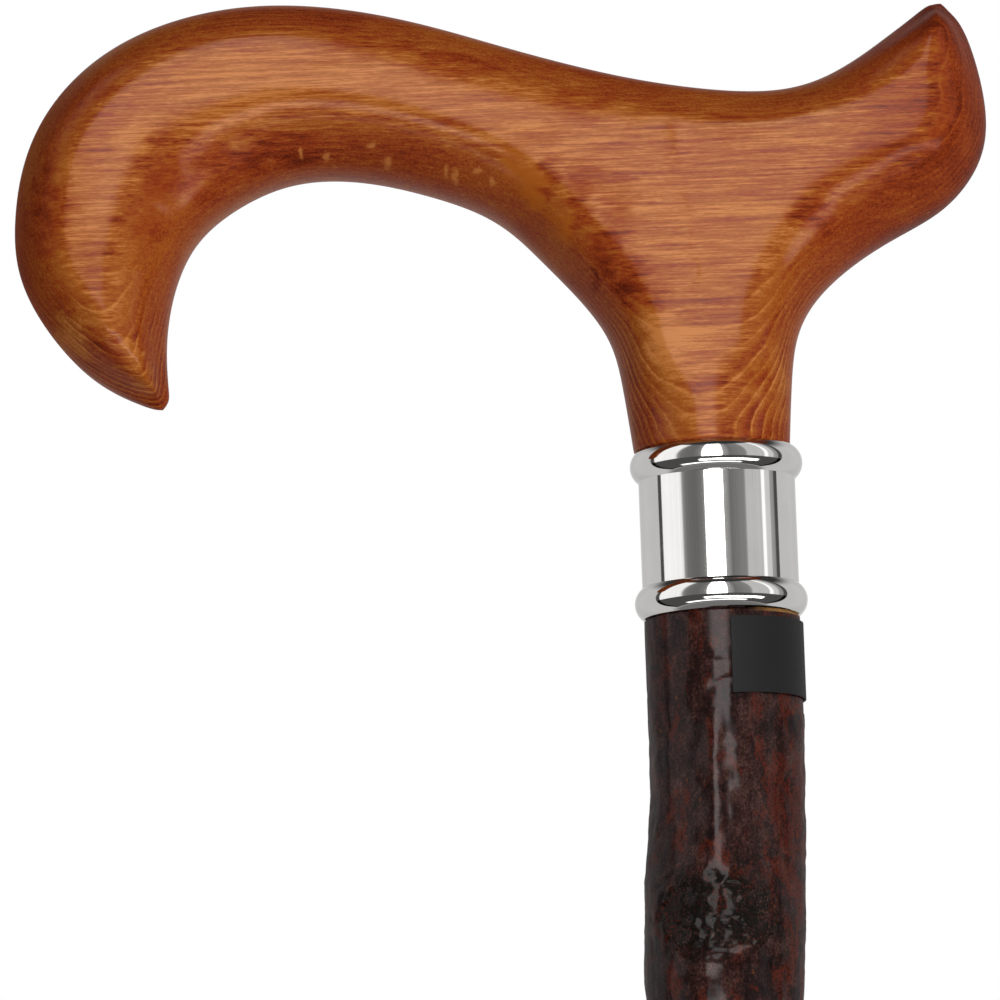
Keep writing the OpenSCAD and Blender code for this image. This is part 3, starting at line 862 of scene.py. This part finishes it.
def scarring(place):
    """1 on a trimmed knot, 0 away from it, with a ragged border."""
    depth = COLLAR_FOOT - place.z
    heading = math.atan2(place.y, place.x)
    half_height, half_width = KNOT_HALF
    scarred = 0.0
    for knot_depth, knot_heading in KNOTS:
        if abs(depth - knot_depth) < 2 * half_height:
            turn = (heading - knot_heading + math.pi) % math.tau - math.pi
            reach = math.hypot((depth - knot_depth) / half_height, turn * place.xy.length / half_width)
            ragged = reach + noise.noise(place / SCAR_RAGGED[0]) * SCAR_RAGGED[1]
            scarred = max(scarred, min(1.0, max(0.0, (SCAR_RIM - ragged) / SCAR_FADE)))
    return scarred


def bark_relief(place, scarred):
    """How far the bark stands out at a place, in millimetres."""
    heading = math.atan2(place.y, place.x)
    depth = (COLLAR_FOOT - place.z) / MM
    around = Vector((math.cos(heading), math.sin(heading), 0.0))

    def on_stem(count, length):
        """A place counted round the stem, and down it in the given length."""
        return around * count + Vector((0, 0, depth / length))

    ridge = noise.fractal(on_stem(5.5, 20), 1.0, 2.0, 3)
    lump = noise.fractal(place / (8 * MM), 1.0, 2.0, 4)
    stray = noise.noise(on_stem(2.2, 30)) * RING_STRAY
    gap = max(0.0, noise.noise(on_stem(2, 8)) + 0.3)
    ring = sum(math.exp(-((depth - at - stray) / RING_HALF) ** 2) for at in RING_DEPTHS) * gap
    broken = noise.fractal(place / (2.2 * MM), 0.7, 2.1, 4)
    pore = noise.noise(Vector((place.x / 2.4, place.y / 2.4, place.z / 0.9)) / MM)
    at, half, height, first, last = RIB
    rib = height * math.exp(-((place.x / MM - at - stray * 0.4) / half) ** 2) if place.y < 0 else 0.0
    rib *= eased(depth, first - RIB_END, first + RIB_END) * eased(-depth, -last - RIB_END, -last + RIB_END)
    return RIDGE * ridge + LUMP * lump + PORE * pore + rib - RING_DIP * ring + BREAK * broken * scarred


print("rings at", ", ".join(str(depth) for depth in RING_DEPTHS), "mm below the collar")

# %% Let the bark grow
LABEL_DEPTH = 12.5 * MM  # nothing stands out under the label
TOP_FADE = 1.5 * MM  # the relief fades in over this depth below the collar
FOOT_FADE = 4 * MM  # and fades out over this height above the foot
CUT_ENDS = (2 * MM, 1 * MM)  # the cut ends lie this close to the foot's top and the collar's foot


def grow_bark(shape):
    """Moves every point of the bark, and keeps how scarred it is for the finish."""
    scar = shape.verts.layers.float.new("scar")
    shape.normal_update()
    moves = []
    for point in shape.verts:
        if on_bark(point.co):
            depth = COLLAR_FOOT - point.co.z
            point[scar] = scarring(point.co)
            relief = bark_relief(point.co, point[scar])
            if depth < LABEL_DEPTH:
                relief = min(relief, 0.0)
            fade = min(1.0, depth / TOP_FADE, (point.co.z - FOOT_TOP) / FOOT_FADE)
            moves.append((point, point.normal * relief * fade * MM))
    for point, move in moves:
        point.co += move
    return len(moves)


def keep_cuts_crisp(shape):
    """Stops the shading from rounding the cut ends of the bark and the turned end."""
    for edge in shape.edges:
        level = (edge.verts[0].co.z + edge.verts[1].co.z) / 2
        if not FOOT_TOP + CUT_ENDS[0] < level < COLLAR_FOOT - CUT_ENDS[1]:
            edge.smooth = edge.calc_face_angle(0.0) < CREASE_ANGLE


stick_shape = connected_copy("shaft")
stick_creases = crease_corners(stick_shape, 1.0)
finely_cut(stick_shape)
stick = subdivided(as_piece(stick_shape, "bark_stick", bark), 2)
stick_skin = worked_in(stick)
halve_near_collar(stick_skin)
grown_points = grow_bark(stick_skin)
keep_cuts_crisp(stick_skin)
write_back(stick_skin, stick)
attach(stick, "cane")
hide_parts("shaft")
print("stick faces:", len(stick.data.polygons))
print("creased edges:", stick_creases, "grown points:", grown_points)

# %% [markdown]
# ## Label, foot and hidden steel
# The label is a matte film, the foot is moulded rubber, and the stud and the washer are plain steel.
# Label, stud and washer are right as they are, so they only get finishes. A mould can't make a knife
# edge in rubber, so the foot's edges are bevelled a little. A modifier does that without new modelling.

# %% Finishes for the small pieces
def label_film():
    bench = new_material("label_film")
    place = millimetres(bench, (0.0, 0.0, COLLAR_FOOT))
    weave = cloud(bench, place, (0.14, 0.14, 0.14))
    fade = cloud(bench, place, (5, 5, 3))
    tint = mixed(bench, fade * 0.6 + weave * 0.4, screen(14, 13, 14), screen(24, 23, 24))
    return surfaced(
        bench, Base_Color=tint, Roughness=0.62 + weave * 0.15, Specular_IOR_Level=0.2,
        Normal=bumped(bench, weave, 0.02, 0.4))


def moulded_rubber():
    bench = new_material("moulded_rubber")
    place = millimetres(bench)
    up = split(bench, place)[2]
    grain = cloud(bench, place, (0.3, 0.3, 0.3), 3.0)
    dust = cloud(bench, place, (9, 9, 6), 3.0)
    scuff = rise(bench, dust, 0.5, 0.75) * rise(bench, up, 16, 1)
    tint = mixed(bench, scuff * 0.6 + grain * 0.15, screen(30, 30, 30), screen(74, 71, 66))
    return surfaced(
        bench, Base_Color=tint, Roughness=0.6 + scuff * 0.25, Specular_IOR_Level=0.35,
        Normal=bumped(bench, grain, 0.05, 0.4))


def plain_steel():
    bench = new_material("plain_steel")
    place = millimetres(bench)
    turned = cloud(bench, place, (4, 4, 0.2))
    tint = mixed(bench, turned, screen(176, 176, 178), screen(198, 198, 199))
    return surfaced(bench, Base_Color=tint, Metallic=1.0, Roughness=0.26 + turned * 0.16)


film, steel = label_film(), plain_steel()
FINISHES = {"label_band": film, "joint_stud": steel, "foot_washer": steel}
for node, material in FINISHES.items():
    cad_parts[node].data.materials.clear()
    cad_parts[node].data.materials.append(material)
print("finished as they are:", ", ".join(FINISHES))

# %% Bevel the foot
FOOT_BEVEL = 0.5 * MM
BEVEL_STEPS = 3
BEVEL_ANGLE = math.radians(30)  # edges that turn more than this are bevelled


def moulded_foot():
    foot = as_piece(connected_copy("rubber_foot"), "moulded_foot", moulded_rubber())
    edges = foot.modifiers.new("soft_edges", "BEVEL")
    edges.width = FOOT_BEVEL
    edges.segments = BEVEL_STEPS
    edges.limit_method = "ANGLE"
    edges.angle_limit = BEVEL_ANGLE
    edges.harden_normals = True
    return foot


foot = moulded_foot()
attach(foot, "foot")
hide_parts("rubber_foot")
print("foot faces before the bevel:", len(foot.data.polygons))

# %% [markdown]
# ## The room in the metal
# Behind the cane the world is plain white. Polished metal shows the room in front of it, so the world
# holds that room for reflections only: a tall bright window ahead, white panels to the left and right,
# grey walls between them, a dark ceiling, and a dark table with two bright lines on it. Cards on stands
# would do the same, but a world needs no stands and never shadows the cane.

# %% What the room holds
WORLD_LIGHT = 0.35  # what the world lends to plain, unpolished surfaces
BACKDROP = 0.95
ROOM_TOP = 10.0  # the brightest level in the room
ROOM_HALF = 110  # degrees each way that the walls are described for
# Degrees to the right of straight ahead, and the level of light seen there
WALLS = [(-101, 0.9), (-100, 0.12), (-92, 0.12), (-90.5, 1.75), (-57, 1.7), (-53, 0.5), (-48, 0.3),
         (-38, 0.25), (-30, 0.26), (-23, 0.36), (-19.5, 0.5), (-18.5, 10.0), (-9, 10.0), (-8.3, 1.3),
         (-7.6, 10.0), (7, 10.0), (8, 0.62), (14, 0.5), (18, 0.28), (25, 0.33), (40, 0.42), (42, 0.92),
         (67, 0.95), (68.5, 2.0), (73, 2.0), (74, 1.15), (82, 1.1), (84, 0.58), (90, 0.52), (92, 0.12),
         (98, 0.12), (100, 0.9)]
FOLD = 1.6  # degrees across one fold of the curtains on the walls
CEILING = (62, 0.06)  # degrees up where it starts, level
TABLE = (-8, 0.12)  # degrees up where the walls end and the table starts, level
TABLE_EDGE = -53  # degrees up where the table ends
TABLE_SIDES = (93, 90)  # degrees aside where the table ends
# Bright lines on the table: lowest and highest, leftmost and rightmost degree, level
STRIPS = [(-50, -42, -60, 42, 3.0), (-35, -24, -24, 62, 10.0)]
ROOM_SIDES = (99, 98)  # degrees aside where the room ends
GROUND = 0.3  # level below the table and behind
BEHIND_UP = (30, 50)  # degrees up between which the space behind goes dark
BEHIND_DOWN = (-50, -60)  # degrees up between which it turns to ground
DIM_END = (128, 160, 0.75)  # degrees aside between which it dims, and its level there
print("walls described at", len(WALLS), "headings")

# %% World
def blended(share, first, second):
    return first + (second - first) * share


def walls_seen(bench, turn):
    """The level of light on the walls, with the soft folds of curtains."""
    stops = [((at + ROOM_HALF) / (2 * ROOM_HALF), (level / ROOM_TOP,) * 3 + (1.0,)) for at, level in WALLS]
    fan = bench.node("ShaderNodeValToRGB", {"stops": stops}, {0: (turn + ROOM_HALF) / (2 * ROOM_HALF)})
    folds = bench.node("ShaderNodeTexNoise", {"noise_dimensions": "1D"}, {
        "W": turn / FOLD, "Scale": 1.0, "Detail": 3.0})
    return fan * ROOM_TOP * (folds * 0.5 + 0.75)


def table_seen(bench, turn, aside, height):
    """The level of light on the table, with its bright lines."""
    strips = sum(rise(bench, height, low, low + 1) * rise(bench, height, high, high - 1)
                 * rise(bench, turn, first - 3, first + 3) * rise(bench, turn, last + 3, last - 3) * level
                 for low, high, first, last, level in STRIPS)
    far = rise(bench, height, TABLE_EDGE, TABLE_EDGE + 1.5)
    return (TABLE[1] + strips) * rise(bench, aside, *TABLE_SIDES) * far


def behind_seen(bench, aside, height):
    """The level of light in the space behind the cane."""
    end = rise(bench, aside, DIM_END[0], DIM_END[1], BACKDROP, DIM_END[2])
    lower = blended(rise(bench, height, *BEHIND_DOWN), end, GROUND)
    return blended(rise(bench, height, *BEHIND_UP), lower, CEILING[1])


def room_seen(bench):
    """The level of light that a reflection finds in each direction."""
    direction = bench.node("ShaderNodeTexCoord", output="Generated")
    right, away, up = split(bench, direction)
    turn = right.math("ARCTAN2", right, away * -1) * math.degrees(1)
    height = up.math("ARCSINE", up) * math.degrees(1)
    aside = turn.math("ABSOLUTE", turn)
    ceiling = rise(bench, height, CEILING[0] - 2, CEILING[0] + 2)
    upper = blended(ceiling, walls_seen(bench, turn), CEILING[1])
    above_table = rise(bench, height, TABLE[0] - 1, TABLE[0] + 1)
    room = blended(above_table, table_seen(bench, turn, aside, height), upper)
    inside = rise(bench, aside, *ROOM_SIDES) * rise(bench, height, TABLE_EDGE - 1.5, TABLE_EDGE - 1)
    return blended(inside, behind_seen(bench, aside, height), room)


def studio_world():
    world = bpy.data.worlds.new("studio")
    bench = Bench(world)
    seen, glossy, through = bench.node(
        "ShaderNodeLightPath", output=("Is Camera Ray", "Is Glossy Ray", "Is Transmission Ray"))
    white = seen.math("MAXIMUM", seen, through)
    strength = blended(white, blended(glossy, WORLD_LIGHT, room_seen(bench)), 1.0)
    light = bench.node("ShaderNodeBackground", inputs={"Color": (1, 1, 1, 1), "Strength": strength})
    bench.node("ShaderNodeOutputWorld", inputs={"Surface": light})
    bpy.context.scene.world = world
    return world


print("world:", studio_world().name)

# %% [markdown]
# ## Floor and lamps
# A pale floor under the foot, one broad soft lamp in front and a weaker one behind. The floor is lifted
# towards white for the camera alone, so that it stays pale and keeps the cane's shadow without more
# light on the cane. Neither lamp shows in the metal, which has the room to show.

# %% Floor
FLOOR_SIDE = 40.0
FLOOR_LIFT = 0.42  # light added for the camera only
FLOOR_SHADES = ((0.80, 0.80, 0.79, 1), (0.84, 0.84, 0.83, 1))


def pale_floor():
    bench = new_material("pale_floor")
    place = bench.node("ShaderNodeTexCoord", output="Object")
    mottle = bench.node("ShaderNodeTexNoise", inputs={"Vector": place, "Scale": 1.5, "Detail": 2.0})
    tint = mixed(bench, mottle, *FLOOR_SHADES)
    seen = bench.node("ShaderNodeLightPath", output="Is Camera Ray")
    lift = mixed(bench, seen, (0, 0, 0, 1), (FLOOR_LIFT,) * 3 + (1.0,))
    material = surfaced(
        bench, Base_Color=tint, Roughness=0.9, Specular_IOR_Level=0.1,
        Emission_Color=lift, Emission_Strength=1.0)
    shape = bmesh.new()
    bmesh.ops.create_grid(shape, x_segments=1, y_segments=1, size=FLOOR_SIDE / 2)
    floor = as_piece(shape, "floor", material)
    floor.visible_glossy = False
    return floor


floor = pale_floor()
print("floor at", floor.location.z)

# %% Lamps
# Degrees to the right of straight ahead, degrees up, distance and side in metres, watts
LAMPS = {"key": (26, 5, 1.5, 1.0, 14.4), "back": (180, 12, 1.5, 1.0, 9.0)}


def lamp(name, turn, height, distance, side, watts):
    light = bpy.data.lights.new(name, "AREA")
    light.shape = "SQUARE"
    light.size = side
    light.energy = watts
    stand = bpy.data.objects.new(name, light)
    bpy.context.scene.collection.objects.link(stand)
    turn, height = math.radians(turn), math.radians(height)
    level = math.cos(height)
    towards = Vector((math.sin(turn) * level, -math.cos(turn) * level, math.sin(height)))
    stand.location = Vector((0.0, 0.0, COLLAR_TOP)) + towards * distance
    stand.rotation_euler = (-towards).to_track_quat("-Z", "Y").to_euler()
    stand.visible_glossy = False
    stand.visible_camera = False


for name, values in LAMPS.items():
    lamp(name, *values)
print("lamps:", ", ".join(LAMPS))
